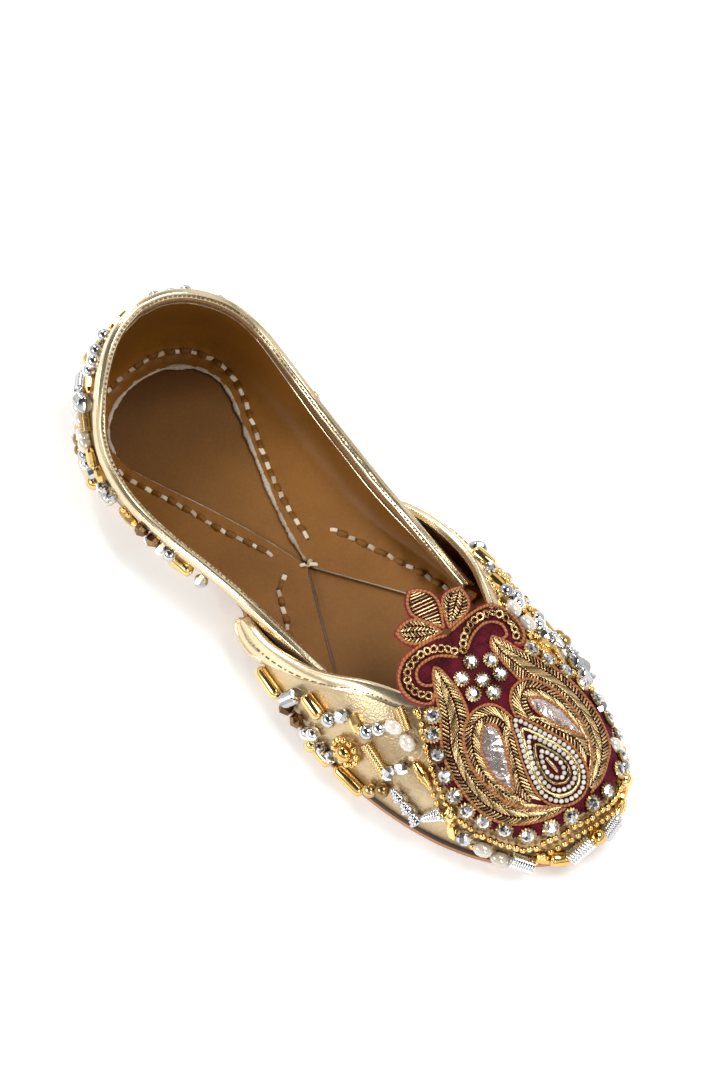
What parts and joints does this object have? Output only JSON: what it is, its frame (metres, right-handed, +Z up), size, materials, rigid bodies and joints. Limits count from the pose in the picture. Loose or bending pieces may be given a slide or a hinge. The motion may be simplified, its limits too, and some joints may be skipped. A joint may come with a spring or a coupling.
{
  "type": "mojari shoe",
  "caption": "Flat slip-on mojari: thin leather sole, folded quarter meeting in a cross over the insole, overlapping vamp with rolled bindings and an embroidered patch standing over the throat",
  "frame": {"origin": "on the floor under the middle of the shoe's length and width", "axes": "+X from heel to toe, +Z up, +Y to the wearer's left"},
  "size_m": [0.2457, 0.0884, 0.0642],
  "materials": {
    "sole_leather": "natural tan vegetable-tanned leather, dyed darker along the rim",
    "insole_leather": "smooth brown leather, darker in the heel seat",
    "gold_leather": "gold foiled leather, soft sheen",
    "lining_leather": "tan lining leather inside, gold foiled outside",
    "binding_leather": "rolled gold leather strip",
    "patch_velvet": "maroon velvet under metal-wire embroidery"
  },
  "bodies": {
    "root": {"outsole": "sole_leather", "insole": "insole_leather", "upper_vamp": "gold_leather", "upper_quarter": "lining_leather", "vamp_binding": "binding_leather", "quarter_binding": "binding_leather", "vamp_patch": "patch_velvet"}
  },
  "joints": []
}
